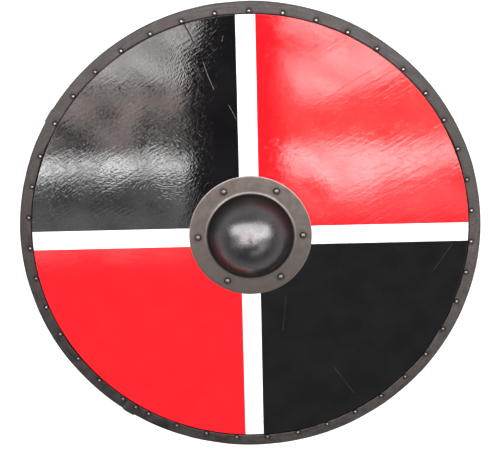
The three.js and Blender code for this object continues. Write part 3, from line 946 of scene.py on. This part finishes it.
def make_boss():
    bm = bmesh.new()
    foot_turn = math.asin(DOME_FOOT / DOME_RADIUS)
    top = bm.verts.new((0, 0, DOME_TOP))
    bmesh.ops.spin(bm, geom=[top], cent=(0, 0, DOME_CENTRE), axis=(0, 1, 0), angle=foot_turn,
                   steps=DOME_ARC_STEPS)
    foot = max(bm.verts, key=lambda vert: vert.co.x)
    edge = bmesh.ops.extrude_vert_indiv(bm, verts=[foot])["edges"][0]
    edge.other_vert(foot).co = Vector((FLANGE_RADIUS, 0, FLANGE_TOP))
    corner = math.pi / 2 + math.asin((FLANGE_TOP - DOME_CENTRE) / DOME_RADIUS)
    bmesh.ops.bevel(bm, geom=[foot], offset=DOME_FILLET / math.tan(corner / 2), segments=6, profile=0.5,
                    affect="VERTICES", material=-1)
    flange = max(bm.edges, key=lambda line: line.calc_length())
    bmesh.ops.subdivide_edges(bm, edges=[flange], cuts=FLANGE_RINGS)
    bmesh.ops.spin(bm, geom=bm.verts[:] + bm.edges[:], cent=(0, 0, 0), axis=(0, 0, 1), angle=math.tau,
                   steps=BOSS_STEPS, use_merge=True)
    close_up(bm)
    if sum(face.normal.z * face.calc_area() for face in bm.faces) < 0:
        bmesh.ops.reverse_faces(bm, faces=bm.faces)
    dent(bm)
    boss = object_from(bm, "domed_boss")
    sheet = boss.modifiers.new("sheet", "SOLIDIFY")
    sheet.thickness = BOSS_SHEET - SHEET_THINNING
    sheet.offset = -1
    sheet.use_even_offset = True
    bake_modifiers(boss)
    worked = bmesh.new()
    worked.from_mesh(boss.data)
    rim = [line for line in worked.edges if line.calc_face_angle(0) > math.radians(60)]
    bmesh.ops.bevel(worked, geom=rim, offset=SHEET_EDGE_RADIUS, segments=2, profile=0.5,
                    affect="EDGES", material=-1)
    mark_rivet_shade(worked, boss_rivets, BOSS_RIVET_SHADE_SIZE)
    worked.to_mesh(boss.data)
    worked.free()
    return boss


boss = make_boss()
finished(boss, ["boss"], [boss_steel])

# %% [markdown]
# Rivet heads are dark in the hollow round their foot and rubbed bright on the crown. The crown is told
# apart by a value stored on each vertex, from 0 at the foot to 1 at the top, so one material serves
# rivets of both sizes at any height.

# %% Material of the rivets
def make_rivet_steel(name, rub_start, rubbed_steel, rubbed_roughness):
    """Rivet steel that is rubbed bright from this share of the head's height upwards."""
    material, tree, shader, place = new_material(name, Metallic=1.0)
    crown = add(tree, "Attribute", attribute_name="crown").outputs["Fac"]
    bloom = use(tree, oxide, {"Vector": place, "Cloud Size": 3 * MM, "Speck Size": 0.5 * MM})
    patchy = reckon(tree, "ADD", crown, reckon(tree, "MULTIPLY", bloom["Clouds"], 0.2))
    rubbed = ramp(tree, patchy, rub_start, 1.12)
    steel = blend(tree, rubbed, colour(0.035, 0.031, 0.029), rubbed_steel)
    steel = glaze(tree, steel, colour(0.09, 0.07, 0.06), bloom["Specks"], 0.4)
    tree.links.new(steel, shader.inputs["Base Color"])
    tree.links.new(ramp(tree, rubbed, 0.0, 1.0, 0.45, rubbed_roughness), shader.inputs["Roughness"])
    set_bump(tree, shader, bloom["Specks"], 0.02 * MM)
    return material


bright_rivet_steel = make_rivet_steel("rubbed_rivet_steel", 0.84, colour(0.24, 0.23, 0.225), 0.22)
brown_rivet_steel = make_rivet_steel("browned_rivet_steel", 0.45, colour(0.13, 0.12, 0.115), 0.36)

# %% [markdown]
# A rivet is half a ball on a shank. The ball is cut through its middle, flattened, drawn in to the shank
# and down through the shield. On the boss rivets the tail is hammered over into a low button.

# %% Make the rivets
RIM_HEAD = (4.0 * MM, 2.6 * MM)
BOSS_HEAD = (5.6 * MM, 3.2 * MM)
TAIL_RADIUS = 4.2 * MM
TAIL_HEIGHT = 1.1 * MM
TAIL_TAPER = 1.0 * MM
TAIL_WALL_SHARE = 0.35
RIVET_SPREAD = 0.05
chance = random.Random(11)


def draw_in(bm, edges, radius, drop):
    """Extrudes an open ring to another radius and lower down, and returns the new ring."""
    ring = bmesh.ops.extrude_edge_only(bm, edges=edges)["geom"]
    verts = [item for item in ring if isinstance(item, bmesh.types.BMVert)]
    for vert in verts:
        share = radius / math.hypot(vert.co.x, vert.co.y)
        vert.co = Vector((vert.co.x * share, vert.co.y * share, vert.co.z - drop))
    return [item for item in ring if isinstance(item, bmesh.types.BMEdge)]


def make_rivet(place, head, shank, tail):
    """One rivet with its head upwards, its shank and, if it has one, its hammered tail."""
    node, x, y, low, high = place
    radius, height = head
    bm = bmesh.new()
    bmesh.ops.create_uvsphere(bm, u_segments=20, v_segments=14, radius=radius)
    bmesh.ops.bisect_plane(bm, geom=bm.verts[:] + bm.edges[:] + bm.faces[:], dist=0.001 * MM,
                           plane_co=(0, 0, 0), plane_no=(0, 0, 1), clear_inner=True)
    bmesh.ops.scale(bm, vec=(1, 1, height / radius), verts=bm.verts)
    crown = bm.verts.layers.float.new("crown")
    flatter = 1 - RIVET_SPREAD * chance.random()
    for vert in bm.verts:
        vert[crown] = vert.co.z / height
        vert.co.z *= flatter
    ring = [edge for edge in bm.edges if edge.is_boundary]
    ring = draw_in(bm, ring, shank, 0)
    tail_height = TAIL_HEIGHT if tail else 0
    ring = draw_in(bm, ring, shank, high - height - low - tail_height)
    if tail:
        ring = draw_in(bm, ring, TAIL_RADIUS, 0)
        ring = draw_in(bm, ring, TAIL_RADIUS, TAIL_HEIGHT * TAIL_WALL_SHARE)
        ring = draw_in(bm, ring, TAIL_RADIUS - TAIL_TAPER, TAIL_HEIGHT * (1 - TAIL_WALL_SHARE))
    bmesh.ops.holes_fill(bm, edges=ring)
    bmesh.ops.rotate(bm, cent=(0, 0, 0), verts=bm.verts,
                     matrix=Matrix.Rotation(chance.random() * math.tau, 3, "Z"))
    bmesh.ops.translate(bm, vec=(x, y, high - height), verts=bm.verts)
    close_up(bm)
    return object_from(bm, "domed_" + node)


for place in rim_rivets:
    rivet = make_rivet(place, RIM_HEAD, RIM_SHANK, False)
    finished(rivet, [place[0]], [bright_rivet_steel])
for place in boss_rivets:
    rivet = make_rivet(place, BOSS_HEAD, BOSS_SHANK, True)
    finished(rivet, [place[0]], [brown_rivet_steel])

# %% [markdown]
# The grip is a bar of oiled ash across the hand hole, let into the back of the board at both ends. The
# photograph doesn't show it, so it stays plain: flat pads in the pockets, smooth shoulders and a rounded
# bar that swells into the boss.

# %% Material of the grip
def make_grip_wood():
    material, tree, shader, place = new_material("oiled_ash", IOR=1.48)
    wood = use(tree, grain, {"Vector": place, "Figure Width": 4.5 * MM})
    figure = blend(tree, wood["Figure"], colour(0.46, 0.27, 0.125), colour(0.29, 0.155, 0.066))
    figure = glaze(tree, figure, colour(0.13, 0.066, 0.03), wood["Pores"], 0.7)
    axes = add(tree, "SeparateXYZ", {"Vector": place}).outputs
    middle = ramp(tree, reckon(tree, "ABSOLUTE", axes["X"]), 55 * MM, 15 * MM, 0.0, 0.5)
    handled = reckon(tree, "MULTIPLY", middle, cloud(tree, place, 60.0, 4.0))
    figure = blend(tree, handled, figure, colour(0.12, 0.065, 0.035))
    tree.links.new(figure, shader.inputs["Base Color"])
    tree.links.new(ramp(tree, handled, 0.0, 0.4, 0.52, 0.34), shader.inputs["Roughness"])
    height = reckon(tree, "SUBTRACT", reckon(tree, "MULTIPLY", wood["Figure"], 0.4), wood["Pores"])
    set_bump(tree, shader, height, 0.08 * MM)
    return material


grip_wood = make_grip_wood()

# %% [markdown]
# A ring of points is extruded along the grip in small steps, and each ring takes the width, height and
# roundness that the grip has there. Worked out for one ring, the whole shape follows from a few formulas.

# %% Shape the grip
GRIP_STEPS = 96
GRIP_RING = 40
GRIP_LENGTH = grip_high.x
GRIP_HALF_WIDTH = grip_high.y
GRIP_CREST_END = GRIP_BAR_END - GRIP_SHOULDER_LENGTH
LAST_RING = 0.35 * MM
PAD_SQUARENESS = 9
BAR_SQUARENESS = 3


def grip_section(x):
    """Half width, lowest and highest point and squareness of the grip at x."""
    away = abs(x)
    crest = 1 - soft_step(away, GRIP_CREST_END, GRIP_BAR_END)
    end_start = GRIP_LENGTH - GRIP_HALF_WIDTH
    past = min(max(away - end_start, 0), GRIP_HALF_WIDTH - LAST_RING)
    half_width = math.sqrt(GRIP_HALF_WIDTH ** 2 - past ** 2)
    waist = GRIP_HOLLOW * (1 - soft_step(away, 0, GRIP_CREST_END))
    pad_top = grip_low.z + GRIP_PAD_THICKNESS
    top = pad_top + (grip_high.z - pad_top) * crest
    squareness = PAD_SQUARENESS + (BAR_SQUARENESS - PAD_SQUARENESS) * crest
    return half_width - waist, grip_low.z + waist * 0.6, top, squareness


def rounded(value, squareness):
    """Where a point of the unit circle goes on a rounded square."""
    return math.copysign(abs(value) ** (2 / squareness), value)


def make_grip():
    bm = bmesh.new()
    bmesh.ops.create_circle(bm, cap_ends=True, segments=GRIP_RING, radius=1,
                            matrix=Matrix.Rotation(math.pi / 2, 4, "Y"))
    faces = list(bm.faces)
    for step in range(GRIP_STEPS):
        swept = bmesh.ops.extrude_face_region(bm, geom=faces)["geom"]
        faces = [item for item in swept if isinstance(item, bmesh.types.BMFace)]
        verts = [item for item in swept if isinstance(item, bmesh.types.BMVert)]
        bmesh.ops.translate(bm, vec=(1, 0, 0), verts=verts)
    for vert in bm.verts:
        share = vert.co.x / GRIP_STEPS
        x = -GRIP_LENGTH * math.cos(math.pi * share)
        half_width, low, high, squareness = grip_section(x)
        across = rounded(vert.co.y, squareness) * half_width
        up = (low + high) / 2 + rounded(vert.co.z, squareness) * (high - low) / 2
        vert.co = Vector((x, across, up))
    close_up(bm)
    return object_from(bm, "carved_grip")


grip = make_grip()
cut_away(grip, drill_tool(boss_rivets, BOSS_SHANK))
finished(grip, ["grip"], [grip_wood], sharp=50)

# %% [markdown]
# The floor is a plain pale sheet with the faintest mottle.

# %% Floor
FLOOR_SIZE = 7.0


def make_floor():
    bm = bmesh.new()
    bmesh.ops.create_grid(bm, x_segments=2, y_segments=2, size=FLOOR_SIZE / 2)
    floor = object_from(bm, "pale_floor")
    material, tree, shader, place = new_material("pale_floor_paint", Roughness=0.7)
    spots = ramp(tree, cloud(tree, place, 3.0, 4.0), 0.3, 0.7)
    paint = blend(tree, spots, colour(0.93, 0.93, 0.93), colour(0.9, 0.9, 0.9))
    tree.links.new(paint, shader.inputs["Base Color"])
    floor.data.materials.append(material)
    print("floor:", FLOOR_SIZE, "m wide")


make_floor()

# %% [markdown]
# Gloss lacquer shows whatever shines on it, so the lamps shape its look as much as the paint does. Two
# columns of soft boxes hang overhead, and a first helper makes one of them. A lamp's power is spread over
# its area, so here the power follows from how bright the panel should look and how large it is. Each one
# also shines a little unevenly, so that its mirror image has patches.

# %% Helpers for soft boxes
SOFTBOX_HEIGHT = BOARD_FACE + 3.0
PATCH_SIZE = 0.11


def mottle(light, patches):
    """Makes a soft box shine unevenly, by up to this share."""
    light.use_nodes = True
    tree = light.node_tree
    across = add(tree, "NewGeometry").outputs["Parametric"]
    size = (light.size / PATCH_SIZE, light.size_y / PATCH_SIZE, 1.0)
    spread = scaled(tree, across, size)
    strength = ramp(tree, cloud(tree, spread, 1.0, 5.0, 0.7), 0.41, 0.59, 1 - patches, 1 + patches)
    tree.links.new(strength, tree.nodes["Emission"].inputs["Strength"])


def softbox(name, sides, brightness, tint=(1.0, 1.0, 1.0), slant=0.0, patches=0.6):
    """A lamp overhead that shines straight down. Its sides are left, right, near and far, in metres."""
    left, right, near, far = sides
    light = bpy.data.lights.new(name, "AREA")
    light.shape = "RECTANGLE"
    light.size = right - left
    light.size_y = far - near
    light.color = tint
    light.energy = brightness * math.pi * light.size * light.size_y
    mottle(light, patches)
    lamp = bpy.data.objects.new(name, light)
    lamp.location = ((left + right) / 2, (near + far) / 2, SOFTBOX_HEIGHT)
    lamp.rotation_euler.z = math.radians(slant)
    lamp.visible_camera = False
    bpy.context.collection.objects.link(lamp)


# %% [markdown]
# The left column lights the black quarter and the right one the red, bright and dim panels in turn, with
# a dark gap between the columns. Fill boxes off to the sides only lighten the colours and the rim. An
# environment image could do the same, but a single lamp can be moved until its patch of light sits right.

# %% Hang the soft boxes
WARM = (1.0, 0.84, 0.79)
WARM_WHITE = (1.0, 0.95, 0.91)
COOL = (0.93, 0.96, 1.0)
softbox("left_high", (-1.2, -0.276, -0.14, 0.55), 7.8, WARM_WHITE, patches=0.35)
softbox("left_high_corner", (-0.276, -0.215, 0.01, 0.55), 7.8, WARM_WHITE, patches=0.35)
softbox("left_far", (-2.6, -1.2, 0.0, 0.55), 2.0, COOL)
softbox("left_dim", (-1.9, -0.276, -0.40, -0.14), 2.9, WARM, patches=0.95)
softbox("left_dim_low", (-1.9, -0.276, -0.47, -0.40), 2.3, WARM, patches=0.95)
softbox("left_bright_slant", (-1.17, -0.29, -0.50, -0.35), 14.0, slant=-10.5, patches=0.4)
softbox("left_bright", (-1.9, -0.276, -0.555, -0.465), 16.5, patches=0.35)
softbox("left_low", (-1.9, -0.276, -0.95, -0.555), 1.35)
softbox("right_high", (0.165, 3.8, 0.04, 0.55), 7.8, patches=0.4)
softbox("right_high_slant", (0.175, 1.25, -0.12, 0.10), 7.4, slant=15.0, patches=0.4)
softbox("right_dim", (0.165, 1.9, -0.44, -0.14), 1.25, (1.0, 0.84, 0.62))
softbox("right_bright", (0.165, 0.70, -0.585, -0.44), 9.8, patches=0.4)
softbox("right_bright_slant", (0.34, 1.22, -0.565, -0.43), 9.8, slant=16.0, patches=0.5)
softbox("right_low", (0.165, 1.9, -0.78, -0.585), 1.4)
softbox("open_sky", (-4.0, 4.0, 0.6, 2.4), 5.5, COOL)
softbox("fill_left", (-3.6, -2.4, -2.0, 0.5), 0.8)
softbox("fill_right", (2.2, 3.6, -2.0, 0.0), 0.8)
softbox("fill_low_side", (1.15, 2.2, -2.4, -0.7), 1.6)
softbox("fill_low_end", (0.1, 1.15, -3.0, -2.05), 1.5)
print(len(bpy.data.lights), "soft boxes,", SOFTBOX_HEIGHT, "m up")

# %% [markdown]
# A flag is a dark cloth that keeps light off. Hung in the gap between the two columns of soft boxes, it
# leaves the black and the red deep where the lacquer mirrors it.

# %% Dark flag between the two columns of soft boxes
FLAG_CLOTHS = [(-0.272, 0.162, -0.84, 0.0), (-0.205, 0.162, 0.0, 0.5)]


def make_flag(cloths):
    """Flat cloths of black felt. The sides of each are left, right, near and far, in metres."""
    bm = bmesh.new()
    for left, right, near, far in cloths:
        middle = Matrix.Translation(((left + right) / 2, (near + far) / 2, SOFTBOX_HEIGHT))
        size = Matrix.Diagonal((right - left, far - near, 1, 1))
        bmesh.ops.create_grid(bm, x_segments=1, y_segments=1, size=0.5, matrix=middle @ size)
    flag = object_from(bm, "dark_flag")
    material, tree, shader, place = new_material("black_felt", Roughness=1.0)
    nap = cloud(tree, place, 40.0)
    felt = blend(tree, nap, colour(0.004, 0.004, 0.004), colour(0.012, 0.009, 0.01))
    tree.links.new(felt, shader.inputs["Base Color"])
    flag.data.materials.append(material)
    flag.visible_camera = False


make_flag(FLAG_CLOTHS)

# %% [markdown]
# All other light comes from an even sky without a sun. It is brighter towards the top of the shield than
# below it, so that the boss and the rivets darken towards their lower sides, and a bright horizon keeps
# their steep sides from going black. Two ramps over the direction of view are enough for this.

# %% Sky
LOW_LIGHT = 0.2
HIGH_LIGHT = 0.42
HORIZON_LIGHT = 0.6


def make_sky():
    """Light from all round, brighter towards the top of the shield and near the horizon."""
    world = bpy.data.worlds.new("even_sky")
    world.use_nodes = True
    tree = world.node_tree
    outlook = add(tree, "SeparateXYZ", {"Vector": add(tree, "TexCoord").outputs["Generated"]}).outputs
    high = ramp(tree, outlook["Y"], 0.2, 0.75, LOW_LIGHT, HIGH_LIGHT)
    horizon = ramp(tree, outlook["Z"], 0.62, 0.02, 0.0, HORIZON_LIGHT)
    tree.links.new(reckon(tree, "ADD", high, horizon), tree.nodes["Background"].inputs["Strength"])
    tree.nodes["Background"].inputs["Color"].default_value = colour(1, 1, 1)
    bpy.context.scene.world = world


make_sky()

# %% [markdown]
# The shield lies on its back, so the camera looks down at it. A Track To constraint would aim it, but
# then the tilt would need a parent, so its three directions are worked out and set as one matrix. It
# stands a little towards the shield's top and is tilted by a bit more than a degree, which lays the rim,
# boss and bands over the photograph.

# %% Camera
CAMERA_PLACE = Vector((-0.0006, 0.4789, BOARD_FACE + 1.6796))
CAMERA_TARGET = Vector((-0.0006, 0.0158, BOARD_FACE))
CAMERA_TILT = math.radians(-1.306)
CAMERA_LENS = 76.0
SENSOR_WIDTH = 36.0

lens = bpy.data.cameras.new("camera")
lens.lens = CAMERA_LENS
lens.sensor_width = SENSOR_WIDTH
camera = bpy.data.objects.new("camera", lens)
backward = (CAMERA_PLACE - CAMERA_TARGET).normalized()
right = Vector((0, 1, 0)).cross(backward).normalized()
look = Matrix((right, backward.cross(right), backward)).transposed().to_4x4()
camera.matrix_world = Matrix.Translation(CAMERA_PLACE) @ look @ Matrix.Rotation(CAMERA_TILT, 4, "Z")
bpy.context.collection.objects.link(camera)
bpy.context.scene.camera = camera
bpy.context.scene.view_settings.view_transform = "Standard"
print("camera at", [round(side, 3) for side in CAMERA_PLACE], "with a lens of", CAMERA_LENS, "mm")
